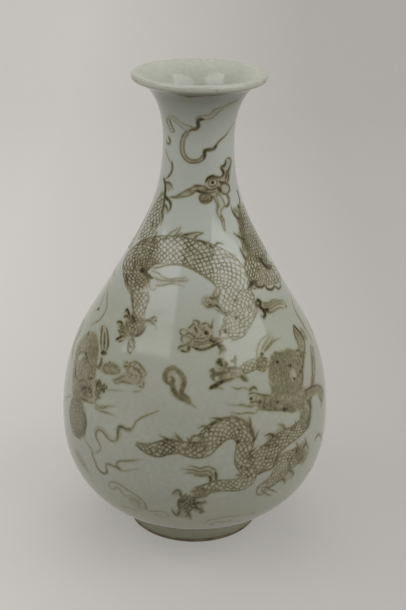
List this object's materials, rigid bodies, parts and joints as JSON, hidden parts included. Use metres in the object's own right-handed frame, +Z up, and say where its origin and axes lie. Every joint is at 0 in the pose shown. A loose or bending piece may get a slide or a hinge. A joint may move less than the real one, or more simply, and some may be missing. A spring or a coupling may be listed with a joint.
{
  "type": "pear-shaped bottle vase",
  "caption": "Pear-shaped glazed bottle vase (yuhuchunping) with a trumpet mouth, slim neck, full low belly and splayed foot ring, thrown in luted clay sections; holds stems or wine.",
  "frame": {"origin": "centre of the resting face of the foot ring", "axes": "+Z up along the axis of the vase; it is a solid of revolution, and -Y faces the picture's camera"},
  "size_m": [0.1846, 0.1846, 0.32],
  "materials": {
    "bare_clay": "fired, unglazed",
    "slip": "fired, matt",
    "glaze": "glossy, grey-green"
  },
  "bodies": {
    "root": {"foot_ring": "bare_clay", "foot_seam": "slip", "lower_body": "bare_clay", "belly_seam": "slip", "upper_body": "bare_clay", "neck_seam": "slip", "neck": "bare_clay", "outer_glaze": "glaze", "inner_glaze": "glaze", "base_glaze": "glaze"}
  },
  "joints": []
}
